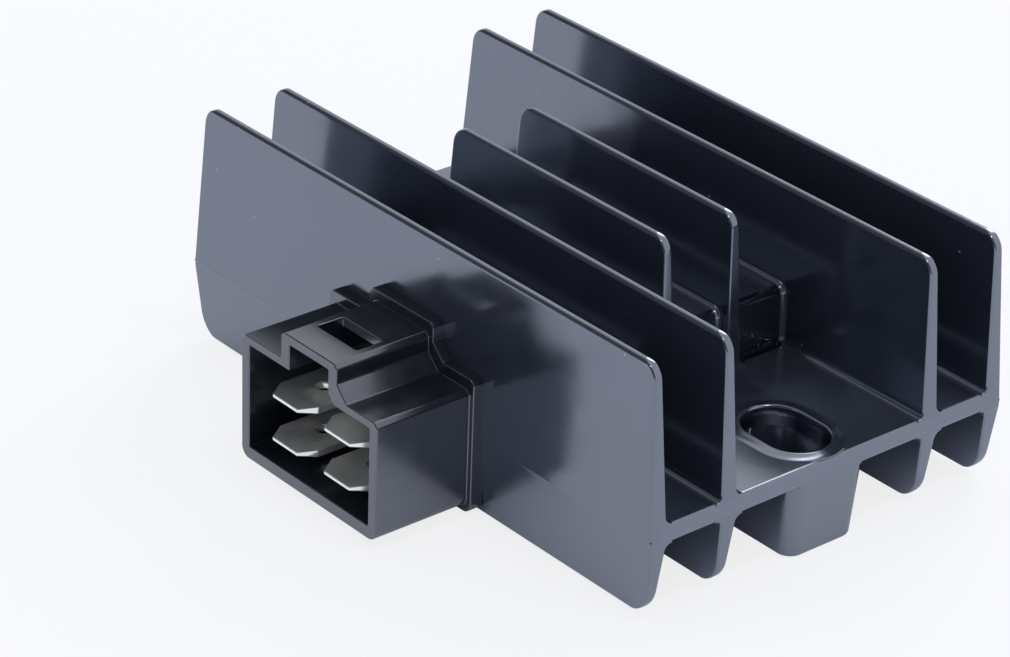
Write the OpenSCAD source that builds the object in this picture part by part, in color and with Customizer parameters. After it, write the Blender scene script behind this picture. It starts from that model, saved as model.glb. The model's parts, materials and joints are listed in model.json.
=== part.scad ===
// Voltage regulator rectifier for a small motorcycle: a black die-cast heatsink with six fins,
// a slotted mounting boss at each end and a four-way socket moulding in its first fin. The
// electronics sit under the raised roof in the middle and are sealed in from below.
// Frame: X runs along the fins, -Y is the side with the socket, Z is up, and the origin lies
// between the two mounting slots on the plane that the bosses are bolted down on.

/* [Heatsink] */
// Length of the casting along the fins, at the plate
body_l = 73; // [70:0.5:80]
// Height of the underside of the plate above the mounting plane
plate_z = 8.4; // [7.5:0.1:9.5]
// Thickness of the plate
plate_t = 2.0; // [1.8:0.1:2.6]
// Amount by which the plate's end face leans in over its thickness
plate_lean = 0.12; // [0.05:0.01:0.3]
// Height of the raised roof of the electronics bay above the plate
roof_rise = 6.2; // [5:0.1:7.5]
// Length of the raised roof along the fins
roof_l = 32.2; // [31.6:0.1:34]
// Thickness of the roof and of the end walls of the bay
bay_wall = 1.9; // [1.5:0.1:2.2]
// Amount by which each end of the roof leans in over its rise
roof_lean = 0.35; // [0.1:0.05:0.6]
// Radius on the end edges of the roof
roof_r = 0.9; // [0.4:0.1:1.5]
// Radius of the fillets at the feet of the fins
root_r = 0.8; // [0.3:0.1:1.2]

/* [Fins] */
// Distance from one fin to the next
fin_pitch = 9.0; // [8.8:0.05:9.6]
// Thickness of a fin at the plate
fin_foot = 2.2; // [1.9:0.1:2.6]
// Thickness of a fin at its rounded tip
fin_tip = 1.25; // [1:0.05:1.6]
// Height of the fins above the plate
fin_rise = 16.9; // [14:0.1:20]
// Gap between the fins' lower edges and the mounting plane
fin_clear = 0.3; // [0.1:0.1:1]
// Amount by which the fins' ends lean in towards the top
lean_up = 1.45; // [0.5:0.05:2.5]
// Amount by which the fins' ends lean in towards the bottom
lean_down = 0.9; // [0.3:0.05:1.5]
// Corner radius at the top of each fin end
fin_top_r = 2.0; // [1:0.1:3]
// Corner radius at the bottom of each fin end
fin_low_r = 3.1; // [1.5:0.1:4]
// Length of the two middle fins at the plate
short_l = 34.8; // [34:0.1:38]
// Amount by which the ends of the two middle fins lean in
short_lean = 1.1; // [0.3:0.05:2]

/* [Mounting] */
// Distance between the centres of the two slots
slot_pitch = 59.5; // [58:0.1:60.5]
// Width of each slot, for an M6 bolt
slot_w = 6.8; // [6.4:0.1:7.2]
// Overall length of each slot, along the fins
slot_l = 9.8; // [9:0.1:10.4]
// Height of the rounded lip around the slot above the plate
lip_h = 0.6; // [0.3:0.05:1]
// Width of the lip's slope outside its crest
lip_out = 0.7; // [0.4:0.05:0.9]
// Width of the lip's slope inside its crest, down to the bore
lip_in = 0.8; // [0.5:0.05:1]
// Width of the boss across the fins, at the plate
boss_w = 10.2; // [9.8:0.1:11]
// Length of the boss along the fins, at the plate
boss_l = 13.4; // [13:0.1:14.5]
// Amount by which the boss's faces lean in towards the mounting plane
boss_lean = 0.55; // [0.2:0.05:0.8]
// Radius of the boss's upright corners
boss_r = 1.9; // [1:0.1:3]

/* [Socket] */
// Width of the socket moulding
sock_w = 21.8; // [21:0.1:23]
// Distance from the first fin's face to the socket's mouth
sock_l = 12.5; // [11:0.1:16]
// Height of the socket's underside above the mounting plane
sock_z = 1.3; // [1.1:0.1:1.6]
// Height of the socket body on the side of the far end
sock_h = 13.9; // [13.5:0.1:14.5]
// Step down of the socket's top on the side of the near end
sock_step = 0.7; // [0.4:0.1:0.9]
// Thickness of the socket's side walls
side_wall = 1.25; // [1.1:0.05:1.4]
// Thickness of the socket's floor wall below the blades
low_wall = 1.45; // [1.2:0.05:1.6]
// Thickness of the socket's top wall
top_wall = 0.95; // [0.8:0.05:1.1]
// Chamfer on the socket's upper corners
sock_bevel = 0.5; // [0.3:0.05:0.6]
// Outer radius of the socket's lower corners
sock_r = 1.2; // [0.6:0.1:1.4]
// Height of the latch channel above the socket body
latch_rise = 2.95; // [2.5:0.05:3.4]
// Outer width of the latch channel
latch_w = 8.9; // [8.4:0.1:9.6]
// Thickness of the latch channel's two walls
latch_wall = 1.35; // [1.1:0.05:1.6]
// Thickness of the bridge and of the roof behind the window
latch_roof = 1.05; // [0.9:0.05:1.2]
// Depth of the bridge from the mouth inwards
bridge_d = 3.5; // [3:0.1:4]
// Length of the window behind the bridge
window_d = 3.1; // [2.5:0.1:3.6]
// Width and height of the sloping foot beside the latch channel
latch_foot = 1.6; // [1:0.1:1.9]
// Amount by which that foot is smaller inside the socket
foot_in = 0.6; // [0.4:0.05:0.8]
// Thickness of the flange that lies on the first fin
flange_t = 1.1; // [0.8:0.1:1.5]
// Amount by which the flange stands out from the socket's sides and underside
flange_out = 0.6; // [0.4:0.05:0.8]
// Amount by which the flange stands out above the socket's top
flange_up = 1.2; // [0.8:0.1:1.4]
// Thickness of the wall that closes the socket and holds the blades
back_wall = 1.8; // [1.5:0.1:2.2]
// Distance of that wall's front from the first fin's face
back_out = 0.8; // [0.5:0.1:1]
// Distance from the socket's outline to the neck that passes through the fin
neck_inset = 1.3; // [1.1:0.05:1.5]
// Distance that the neck reaches into the bay
neck_in = 1.2; // [0.8:0.1:1.6]
// Wall thickness of the neck
neck_wall = 1.2; // [1:0.1:1.4]
// Clearance between the neck and the opening in the fin
neck_gap = 0.15; // [0.1:0.05:0.25]

/* [Blades] */
// Width of each blade
blade_w = 6.3; // [6.2:0.05:6.4]
// Thickness of each blade
blade_t = 0.8; // [0.75:0.05:0.85]
// Distance of the blades' tips behind the mouth
blade_back = 0.35; // [0.2:0.05:1.5]
// Distance between the two columns of blades
blade_dx = 8.4; // [8:0.1:8.8]
// Distance between the two rows of blades
blade_dz = 4.9; // [4.85:0.05:5.2]
// Height of the lower row above the mounting plane
blade_z = 5.1; // [5:0.05:5.3]
// Length of the tapered tip
tip_l = 1.8; // [1.2:0.1:2.4]
// Amount taken off each side at the tip
tip_side = 1.15; // [0.8:0.05:1.4]
// Diameter of the detent hole in each blade
dimple_d = 1.7; // [1.4:0.1:2]
// Distance of the detent hole from the tip
dimple_y = 4.85; // [4.2:0.05:5.2]
// Width of the moulding's seat beside each blade
seat_side = 0.7; // [0.5:0.05:0.8]
// Thickness of the moulding's seat above and below each blade
seat_t = 0.65; // [0.5:0.05:0.7]
// Distance of the seats' inner ends from the neck's inner end
seat_back = 0.4; // [0.3:0.05:0.6]
// Width of the tail that runs on to the board
tail_w = 2.4; // [2:0.1:3]
// Height above the board at which a tail narrows to its pin
tail_step = 0.3; // [0.2:0.05:0.5]
// Length of the upper blades' tails behind the bay's front wall
tail_up_y = 7.6; // [7:0.1:8.4]
// Length of the lower blades' tails behind the bay's front wall
tail_low_y = 4.2; // [3.8:0.1:4.8]

/* [Electronics] */
// Height of the board's upper face above the mounting plane
board_z = 3.9; // [3.8:0.05:4]
// Thickness of the board
board_t = 1.6; // [1.5:0.05:1.7]
// Clearance between the board's edge and the walls of the bay
board_gap = 0.5; // [0.3:0.05:0.8]
// Distance from the bay's front wall to the board
board_front = 2.2; // [2:0.1:2.6]
// Length of the pins below the board
pin_out = 0.9; // [0.6:0.05:1.1]
// Thickness of the insulating pads under the thyristors
pad_t = 0.3; // [0.2:0.05:0.5]
// Distance from an insulating pad's sides to the limits of its half of the bay
pad_side = 0.6; // [0.4:0.1:1]
// Length of each insulating pad
pad_l = 18.2; // [17.5:0.1:19]
// Width of a thyristor
scr_w = 10.2; // [10:0.1:10.4]
// Length of a thyristor's moulded body
scr_l = 9.2; // [9:0.1:9.5]
// Total thickness of a thyristor
scr_t = 4.5; // [4.3:0.1:4.7]
// Thickness of a thyristor's mounting tab
tab_t = 1.3; // [1.2:0.05:1.4]
// Length of the tab beyond the moulded body
tab_l = 6.4; // [6:0.1:6.6]
// Diameter of the hole in the tab
tab_hole = 3.6; // [3.4:0.1:3.8]
// Distance from the tab's free end to the end wall of the bay
tab_end = 1.4; // [1:0.1:2]
// Amount by which the tab is narrower on each side inside the moulded body
tab_in = 0.8; // [0.6:0.1:1]
// Distance from the moulded body's front to the tab inside it
tab_front = 0.9; // [0.7:0.1:1.2]
// Distance from the tab's free end to the middle of its hole
tab_hole_y = 2.9; // [2.7:0.1:3.1]
// Height of the pads' undersides above the legs' upper faces
leg_drop = 2.6; // [2.4:0.1:2.8]
// Length of the middle leg's root inside the moulded body
root_in = 1.5; // [1.3:0.1:1.8]
// Length of the outer legs inside the moulded body
leg_in = 2.6; // [2:0.1:3]
// Distance between a thyristor's legs
leg_dx = 2.54; // [2.5:0.01:2.6]
// Width of a thyristor's legs
leg_w = 0.8; // [0.7:0.05:0.9]
// Thickness of a thyristor's legs
leg_t = 0.5; // [0.4:0.05:0.6]
// Reach of the legs in front of the moulded body, to their downward part
leg_y = 3.2; // [2.6:0.1:3.6]
// Distance of the small parts from the middle of the bay
small_dx = 6.9; // [6.5:0.1:7.2]
// Diameter of a diode's body
diode_d = 2.7; // [2.6:0.1:2.8]
// Length of a diode's body
diode_l = 5.2; // [4.8:0.1:5.4]
// Distance of the diodes from the bay's front wall
diode_y = 10.6; // [10.4:0.1:10.8]
// Diameter of a zener diode's body
zener_d = 2.0; // [1.8:0.1:2.2]
// Length of a zener diode's body
zener_l = 4.0; // [3.6:0.1:4.4]
// Distance of the zener diodes from the bay's front wall
zener_y = 18.2; // [17.6:0.1:18.4]
// Diameter of a resistor's body
res_d = 2.4; // [2.2:0.1:2.5]
// Length of a resistor's body
res_l = 6.3; // [6:0.1:6.5]
// Distance of the first resistors from the bay's front wall
res_y = 22; // [21.4:0.1:22.2]
// Distance from one resistor to the next
res_dy = 3.6; // [3.2:0.1:4]
// Distance from the end of a small part's body to its wire's bend
wire_run = 2.0; // [1.6:0.1:2.1]
// Diameter of the small parts' connecting wires
wire_d = 0.7; // [0.6:0.05:0.8]
// Gap between the board and the parts lying on it
part_gap = 0.2; // [0.1:0.05:0.3]
// Diameter of the capacitor's can
cap_d = 5.0; // [4.8:0.1:5.1]
// Length of the capacitor's can
cap_l = 11; // [10:0.5:11.5]
// Distance between the capacitor's wires
cap_pitch = 2.0; // [1.8:0.1:2.5]
// Distance of the capacitor from the bay's front wall
cap_y = 28.6; // [28.2:0.1:29]
// Distance from the middle of the bay to the capacitor's wired end
cap_x = 1.5; // [1.2:0.1:1.7]
// Distance from that end to the bend in the capacitor's wires
cap_run = 1.4; // [1:0.1:1.6]
// Distance of the resin's surface above the fins' lower edges
resin_low = 0.5; // [0.3:0.05:0.6]

/* [Hidden] */
$fn = 64;
e = 0.01;
fin_n = 6;
plate_top = plate_z + plate_t;
fin_top = plate_top + fin_rise;
row_w = (fin_n - 1) * fin_pitch;
wide = row_w + fin_foot;
front_y = -wide / 2;
bay_y0 = front_y + fin_foot;
bay_y1 = 1.5 * fin_pitch - fin_foot / 2;
roof_z = plate_top + roof_rise;
bay_z = roof_z - bay_wall;
bay_half = roof_l / 2 - roof_lean - bay_wall;
resin_z = fin_clear + resin_low;
mouth_y = front_y - sock_l;
sock_top = sock_z + sock_h;
latch_top = sock_top + latch_rise;
neck_half = sock_w / 2 - neck_inset;
neck_z0 = sock_z + neck_inset;
neck_z1 = sock_top - sock_step - neck_inset;
back_y = front_y - back_out;
upper_z = blade_z + blade_dz;
board_half = bay_half - board_gap;
board_y0 = bay_y0 + board_front;
board_y1 = bay_y1 - board_gap;
pin_z = board_z - board_t - pin_out;
pad_z = bay_z - pad_t;
scr_y1 = bay_y1 - tab_end;
scr_y0 = scr_y1 - tab_l - scr_l;
leg_z = pad_z - leg_drop;
scr_dx = bay_half;
pad_w = bay_half - 2 * pad_side;
seat_half = blade_w / 2 + seat_side;
seat_z = blade_t / 2 + seat_t;

// Box from its lowest corner to its highest one
module block(a, b) {
  translate(a) cube(b - a);
}

// Flat outline with (x, z) points, drawn out along Y from y0 to y1
module along_y(y0, y1) {
  translate([0, y1, 0]) rotate([90, 0, 0]) linear_extrude(y1 - y0) children();
}

// Flat outline with (y, z) points, drawn out along X from -l/2 to l/2
module along_x(l) {
  rotate([90, 0, 90]) translate([0, 0, -l / 2]) linear_extrude(l) children();
}

// Waste outside a rounded corner: h is half the length at height z0, lean the slope of the end,
// z1 the height of the edge, s = 1 for an upper edge and -1 for a lower one
module corner_waste(h, z0, z1, lean, r, s) {
  a = atan(lean);
  zc = z1 - s * r;
  xc = h - abs(zc - z0) * lean - r / cos(a);
  difference() {
    polygon([[xc, zc], [xc, z1 + s], [h + 1, z1 + s], [h + 1, zc + s * r * sin(a)],
      [xc + r * cos(a), zc + s * r * sin(a)]]);
    translate([xc, zc]) circle(r = r);
  }
}

// Side view of a long fin: ends leaning in above and below the plate, four rounded corners
module long_side() {
  up = lean_up / (fin_top - plate_z);
  down = lean_down / (plate_z - fin_clear);
  h = body_l / 2;
  difference() {
    polygon([[-h + lean_down, fin_clear], [h - lean_down, fin_clear], [h, plate_z],
      [h - lean_up, fin_top], [-h + lean_up, fin_top], [-h, plate_z]]);
    for (m = [0, 1]) mirror([m, 0]) {
      corner_waste(h, plate_z, fin_top, up, fin_top_r, 1);
      corner_waste(h, plate_z, fin_clear, down, fin_low_r, -1);
    }
  }
}

// Side view of a short middle fin, which stands on the roof and runs down to the plate
module short_side() {
  h = short_l / 2;
  lean = short_lean / (fin_top - plate_top);
  difference() {
    polygon([[-h, plate_top - 1], [h, plate_top - 1], [h, plate_top],
      [h - short_lean, fin_top], [-h + short_lean, fin_top], [-h, plate_top]]);
    for (m = [0, 1]) mirror([m, 0])
      corner_waste(h, plate_top, fin_top, lean, fin_top_r, 1);
  }
}

// End view of half a fin pointing up or down from height z0, with a rounded tip
module blade_view(y, z0, z1, s) {
  r = fin_tip / 2;
  a = atan((fin_foot / 2 - r) / (abs(z1 - z0) - r));
  zc = z1 - s * r;
  translate([y, zc]) circle(r = r);
  polygon([[y - fin_foot / 2, z0], [y + fin_foot / 2, z0],
    [y + r * cos(a), zc + s * r * sin(a)], [y - r * cos(a), zc + s * r * sin(a)]]);
}

// Fillet between a wall face at y and a level face at z, open towards (sy, sz)
module root(y, z, sy, sz, r) {
  difference() {
    translate([min(y - sy * 0.1, y + sy * r), min(z - sz * 0.1, z + sz * r)]) square(r + 0.1);
    translate([y + sy * r, z + sz * r]) circle(r = r);
  }
}

// A fin that runs the whole length, above and below the plate
module long_fin(i) {
  y = (i - 2.5) * fin_pitch;
  intersection() {
    along_x(body_l + 2) {
      blade_view(y, plate_z, fin_top, 1);
      blade_view(y, plate_top, fin_clear, -1);
      for (s = [-1, 1]) if (abs(y + s * fin_foot) < wide / 2) {
        root(y + s * (fin_foot / 2 - 0.05), plate_top, s, 1, root_r);
        root(y + s * (fin_foot / 2 - 0.05), plate_z, s, -1, root_r);
      }
    }
    along_y(y - fin_pitch, y + fin_pitch) long_side();
  }
}

// One of the two fins over the electronics, which end well short of the slots
module short_fin(i) {
  y = (i - 2.5) * fin_pitch;
  intersection() {
    along_x(body_l) {
      blade_view(y, plate_top - 1, fin_top, 1);
      for (s = [-1, 1]) root(y + s * (fin_foot / 2 - 0.07), plate_top, s, 1, root_r);
    }
    along_y(y - fin_pitch, y + fin_pitch) short_side();
  }
}

// The plate between all the fins, its end faces leaning in a little
module plate() {
  h = body_l / 2;
  along_y(front_y, -front_y)
    polygon([[-h, plate_z], [h, plate_z], [h - plate_lean, plate_top], [-h + plate_lean, plate_top]]);
}

// The raised roof with rounded end edges and the walls of the bay below the plate. Both reach
// to the middle of the first fin and of the fifth
module bay_shell() {
  h = roof_l / 2;
  lean = roof_lean / roof_rise;
  y0 = front_y + fin_foot / 2;
  y1 = bay_y1 + fin_foot / 2;
  along_y(y0, y1) difference() {
    polygon([[-h, plate_top - 0.5], [h, plate_top - 0.5], [h, plate_top], [h - roof_lean, roof_z],
      [-h + roof_lean, roof_z], [-h, plate_top]]);
    for (m = [0, 1]) mirror([m, 0]) corner_waste(h, plate_top, roof_z, lean, roof_r, 1);
  }
  along_y(y0, y1) for (s = [-1, 1]) root(s * h, plate_top, s, 1, root_r);
  w = bay_half + bay_wall;
  block([-w, y0, fin_clear], [w, y1, plate_top]);
}

// Solid boss under a slot, its faces leaning in towards the mounting plane; flush with the
// plate's end at the top
module boss(s) {
  x = s * (body_l / 2 - boss_l / 2);
  hull() {
    translate([x, 0, plate_z]) rounded_plan(boss_l, boss_w, boss_r, plate_t / 2);
    translate([x, 0, 0])
      rounded_plan(boss_l - 2 * boss_lean, boss_w - 2 * boss_lean, boss_r - boss_lean / 2, 0.1);
  }
}

// Upright plate with four rounded corners
module rounded_plan(l, w, r, h) {
  linear_extrude(h) {
    square([l - 2 * r, w], center = true);
    square([l, w - 2 * r], center = true);
    for (i = [-1, 1], j = [-1, 1]) translate([i * (l / 2 - r), j * (w / 2 - r)]) circle(r = r, $fn = 32);
  }
}

// Slot-shaped solid with sloping sides: radius r0 at height z0 and r1 at height z1
module slot_cone(x, z0, z1, r0, r1) {
  half = (slot_l - slot_w) / 2;
  for (s = [-1, 1]) translate([x + s * half, 0, z0]) cylinder(h = z1 - z0, r1 = r0, r2 = r1);
  translate([x, 0, 0]) along_x(2 * half) polygon([[-r0, z0], [r0, z0], [r1, z1], [-r1, z1]]);
}

// Hole for the socket moulding's neck in the first fin
module neck_opening() {
  g = neck_gap;
  block([-neck_half - g, front_y - 1, neck_z0 - g], [neck_half + g, bay_y0 + 0.5, neck_z1 + g]);
}

module heatsink() {
  bore = slot_w / 2;
  crest = bore + lip_in;
  crest_z = plate_top + lip_h;
  color("#22262c") difference() {
    union() {
      plate();
      for (i = [0, 1, 4, 5]) long_fin(i);
      for (i = [2, 3]) short_fin(i);
      bay_shell();
      for (s = [-1, 1]) {
        boss(s);
        slot_cone(s * slot_pitch / 2, plate_top - 0.2, crest_z, crest + lip_out, crest);
      }
    }
    for (s = [-1, 1]) {
      slot_cone(s * slot_pitch / 2, -1, crest_z + 1, bore, bore);
      slot_cone(s * slot_pitch / 2, crest_z - lip_in, crest_z + 0.01, bore, crest + 0.01);
    }
    block([-bay_half, bay_y0, -1], [bay_half, bay_y1, bay_z]);
    neck_opening();
  }
}

// End view of the socket with (x, z) points: o grows the outline, up grows its top only
module sock_view(o, up) {
  w = sock_w / 2 + o;
  z0 = sock_z - o;
  lw = latch_w / 2 + o;
  zt = sock_top + up;
  zs = zt - sock_step;
  zl = latch_top + up;
  r = sock_r;
  t = sock_bevel;
  translate([-w, z0 + r]) square([2 * w, zs - t - z0 - r]);
  translate([-w + r, z0]) square([2 * (w - r), r + e]);
  for (s = [-1, 1]) translate([s * (w - r), z0 + r]) circle(r = r);
  polygon([[-w, zs - t - e], [-w, zt - t], [-w + t, zt], [-lw, zt], [-lw, zl - t], [-lw + t, zl],
    [lw - t, zl], [lw, zl - t], [lw, zs + latch_foot], [lw + latch_foot, zs], [w - t, zs],
    [w, zs - t], [w, zs - t - e]]);
}

// The space inside the socket, also up in the latch channel
module sock_space() {
  w = sock_w / 2 - side_wall;
  z0 = sock_z + low_wall;
  zt = sock_top - top_wall;
  zs = zt - sock_step;
  lw = latch_w / 2 - latch_wall;
  f = latch_foot - foot_in;
  polygon([[-w, z0], [w, z0], [w, zs], [lw + f, zs], [lw, zs + f], [lw, latch_top - latch_roof],
    [-lw, latch_top - latch_roof], [-lw, zt], [-w, zt]]);
}

// Window in the latch channel's roof, behind the bridge
module latch_window() {
  lw = latch_w / 2 - latch_wall;
  y = mouth_y + bridge_d;
  block([-lw, y, latch_top - latch_roof - 1], [lw, y + window_d, latch_top + 1]);
}

// Position of each blade: s = -1 far column, 1 near column; z is the blade's middle height
module at_blade(s, z) {
  translate([s * blade_dx / 2, 0, z]) children();
}

module connector_housing() {
  nw = neck_half;
  color("#26292e") difference() {
    union() {
      along_y(mouth_y, front_y - flange_t) sock_view(0, 0);
      along_y(front_y - flange_t, front_y) sock_view(flange_out, flange_up);
      block([-nw, front_y - e, neck_z0], [nw, bay_y0 + neck_in, neck_z1]);
    }
    along_y(mouth_y - 1, back_y) sock_space();
    latch_window();
    difference() {
      block([-nw + neck_wall, back_y + back_wall, neck_z0 + neck_wall],
        [nw - neck_wall, bay_y0 + neck_in + 1, neck_z1 - neck_wall]);
      for (s = [-1, 1], z = [blade_z, upper_z]) at_blade(s, z)
        block([-seat_half, back_y, -seat_z], [seat_half, bay_y0 + neck_in - seat_back, seat_z]);
    }
    for (s = [-1, 1], z = [blade_z, upper_z]) at_blade(s, z)
      block([-blade_w / 2, back_y - 1, -blade_t / 2], [blade_w / 2, bay_y0 + neck_in + 2, blade_t / 2]);
  }
}

// Blade with a tapered tip and a detent hole, and a narrow tail bent down through the board.
// yt is how far the tail runs behind the bay's front wall
module terminal(s, z, yt) {
  tip = mouth_y + blade_back;
  w = blade_w / 2;
  t = tail_w / 2;
  y1 = bay_y0 + neck_in;
  at_blade(s, z) translate([0, 0, -blade_t / 2]) linear_extrude(blade_t) difference() {
    polygon([[-w + tip_side, tip], [w - tip_side, tip], [w, tip + tip_l], [w, y1], [t, y1],
      [t, bay_y0 + yt], [-t, bay_y0 + yt], [-t, y1], [-w, y1], [-w, tip + tip_l]]);
    translate([0, tip + dimple_y]) circle(d = dimple_d);
  }
  at_blade(s, 0) {
    block([-t, bay_y0 + yt - blade_t, board_z + tail_step], [t, bay_y0 + yt, z]);
    block([-t / 2, bay_y0 + yt - blade_t, pin_z], [t / 2, bay_y0 + yt, board_z + tail_step + e]);
  }
}

module battery_terminal() {
  color("#c9c7bd") terminal(-1, upper_z, tail_up_y);
}

module ground_terminal() {
  color("#c9c7bd") terminal(1, upper_z, tail_up_y);
}

module charge_coil_terminal() {
  color("#c9c7bd") terminal(-1, blade_z, tail_low_y);
}

module lighting_coil_terminal() {
  color("#c9c7bd") terminal(1, blade_z, tail_low_y);
}

// Board with a hole for every pin and wire
module circuit_board() {
  color("#3c6b45") difference() {
    block([-board_half, board_y0, board_z - board_t], [board_half, board_y1, board_z]);
    battery_terminal();
    ground_terminal();
    charge_coil_terminal();
    lighting_coil_terminal();
    for (s = [-1, 1]) {
      thyristor_tab(s);
      thyristor_legs(s);
    }
    small_parts();
  }
}

// Thin sheet between a thyristor and the roof
module pad(s) {
  block([s * scr_dx / 2 - pad_w / 2, scr_y1 + 1 - pad_l, pad_z], [s * scr_dx / 2 + pad_w / 2, scr_y1 + 1, bay_z]);
}

module insulating_pad_far() {
  color("#b9bcc0") pad(-1);
}

module insulating_pad_near() {
  color("#b9bcc0") pad(1);
}

// One leg of a thyristor: out of the body, then down through the board
module leg(x, y_in) {
  y = scr_y0 - leg_y;
  block([x - leg_w / 2, y, leg_z - leg_t], [x + leg_w / 2, scr_y0 + y_in, leg_z]);
  block([x - leg_w / 2, y, pin_z], [x + leg_w / 2, y + leg_t, leg_z]);
}

// Mounting tab of a thyristor, narrower inside the body, with the middle leg joined to it
module thyristor_tab(s) {
  x = s * scr_dx / 2;
  w = scr_w / 2;
  difference() {
    union() {
      block([x - w, scr_y1 - tab_l, pad_z - tab_t], [x + w, scr_y1, pad_z]);
      block([x - w + tab_in, scr_y0 + tab_front, pad_z - tab_t], [x + w - tab_in, scr_y1 - tab_l + e, pad_z]);
      block([x - leg_w / 2, scr_y0 + tab_front, leg_z - leg_t],
        [x + leg_w / 2, scr_y0 + root_in, pad_z - tab_t + e]);
      leg(x, root_in);
    }
    translate([x, scr_y1 - tab_hole_y, pad_z - tab_t - 1]) cylinder(h = tab_t + 2, d = tab_hole);
  }
}

// The two outer legs of a thyristor
module thyristor_legs(s) {
  for (k = [-1, 1]) leg(s * scr_dx / 2 + k * leg_dx, leg_in);
}

// Moulded body of a thyristor around its tab and the roots of its legs
module thyristor_body(s) {
  x = s * scr_dx / 2;
  w = scr_w / 2;
  difference() {
    block([x - w, scr_y0, pad_z - scr_t], [x + w, scr_y0 + scr_l, pad_z]);
    thyristor_tab(s);
    thyristor_legs(s);
  }
}

module thyristor_far_tab() {
  color("#b4a28c") thyristor_tab(-1);
}

module thyristor_far_legs() {
  color("#c8c8c8") thyristor_legs(-1);
}

module thyristor_far_body() {
  color("#1b1b1d") thyristor_body(-1);
}

module thyristor_near_tab() {
  color("#b4a28c") thyristor_tab(1);
}

module thyristor_near_legs() {
  color("#c8c8c8") thyristor_legs(1);
}

module thyristor_near_body() {
  color("#1b1b1d") thyristor_body(1);
}

// Small part lying along X on the board: body of diameter d and length l, a wire at each end
// bent down through the board
module lying(x, y, d, l) {
  z = board_z + part_gap + d / 2;
  span = l + 2 * wire_run;
  translate([x - l / 2, bay_y0 + y, z]) rotate([0, 90, 0]) cylinder(h = l, d = d);
  translate([x - (span + wire_d) / 2, bay_y0 + y, z]) rotate([0, 90, 0]) cylinder(h = span + wire_d, d = wire_d);
  for (s = [-1, 1]) translate([x + s * span / 2, bay_y0 + y, pin_z]) cylinder(h = z - pin_z, d = wire_d - 0.1);
}

module diode_far() {
  color("#202124") lying(-small_dx, diode_y, diode_d, diode_l);
}

module diode_near() {
  color("#202124") lying(small_dx, diode_y, diode_d, diode_l);
}

module zener_far() {
  color("#b5522f") lying(-small_dx, zener_y, zener_d, zener_l);
}

module zener_near() {
  color("#b5522f") lying(small_dx, zener_y, zener_d, zener_l);
}

module resistor_far() {
  color("#c4a877") lying(-small_dx, res_y, res_d, res_l);
}

module resistor_middle() {
  color("#c4a877") lying(-small_dx, res_y + res_dy, res_d, res_l);
}

module resistor_near() {
  color("#c4a877") lying(small_dx, res_y, res_d, res_l);
}

// Capacitor lying along X on the board, its two wires bent down at one end
module capacitor() {
  z = board_z + part_gap + cap_d / 2;
  x = cap_x - cap_run;
  color("#2c3a63") {
    translate([cap_x, bay_y0 + cap_y, z]) rotate([0, 90, 0]) cylinder(h = cap_l, d = cap_d);
    for (s = [-1, 1]) translate([x, bay_y0 + cap_y + s * cap_pitch / 2, 0]) {
      translate([-wire_d / 2, 0, z]) rotate([0, 90, 0]) cylinder(h = cap_run + 1, d = wire_d - 0.1);
      translate([0, 0, pin_z]) cylinder(h = z - pin_z, d = wire_d - 0.2);
    }
  }
}

// Everything small that is soldered to the board
module small_parts() {
  diode_far();
  diode_near();
  zener_far();
  zener_near();
  resistor_far();
  resistor_middle();
  resistor_near();
  capacitor();
}

// Resin that fills the bay from the roof to just inside the fins' lower edges
module potting_resin() {
  nw = neck_half - neck_wall;
  color("#17181a") difference() {
    union() {
      block([-bay_half, bay_y0, resin_z], [bay_half, bay_y1, bay_z]);
      block([-nw, back_y + back_wall, neck_z0 + neck_wall], [nw, bay_y0 + 1, neck_z1 - neck_wall]);
    }
    difference() {
      block([-neck_half, bay_y0 - 1, neck_z0], [neck_half, bay_y0 + neck_in, neck_z1]);
      block([-nw, bay_y0 - 2, neck_z0 + neck_wall], [nw, bay_y0 + neck_in + 1, neck_z1 - neck_wall]);
    }
    for (s = [-1, 1], z = [blade_z, upper_z]) at_blade(s, z)
      block([-seat_half, back_y, -seat_z], [seat_half, bay_y0 + neck_in - seat_back, seat_z]);
    battery_terminal();
    ground_terminal();
    charge_coil_terminal();
    lighting_coil_terminal();
    block([-board_half, board_y0, board_z - board_t], [board_half, board_y1, board_z]);
    for (s = [-1, 1]) {
      pad(s);
      thyristor_tab(s);
      thyristor_legs(s);
      block([s * scr_dx / 2 - scr_w / 2, scr_y0, pad_z - scr_t],
        [s * scr_dx / 2 + scr_w / 2, scr_y0 + scr_l, pad_z]);
    }
    small_parts();
  }
}

heatsink();
connector_housing();
battery_terminal();
ground_terminal();
charge_coil_terminal();
lighting_coil_terminal();
circuit_board();
insulating_pad_far();
insulating_pad_near();
thyristor_far_tab();
thyristor_far_legs();
thyristor_far_body();
thyristor_near_tab();
thyristor_near_legs();
thyristor_near_body();
diode_far();
diode_near();
zener_far();
zener_near();
resistor_far();
resistor_middle();
resistor_near();
capacitor();
potting_resin();
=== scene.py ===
import bpy
import bmesh
import json
import math
from mathutils import Matrix, Vector

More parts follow.
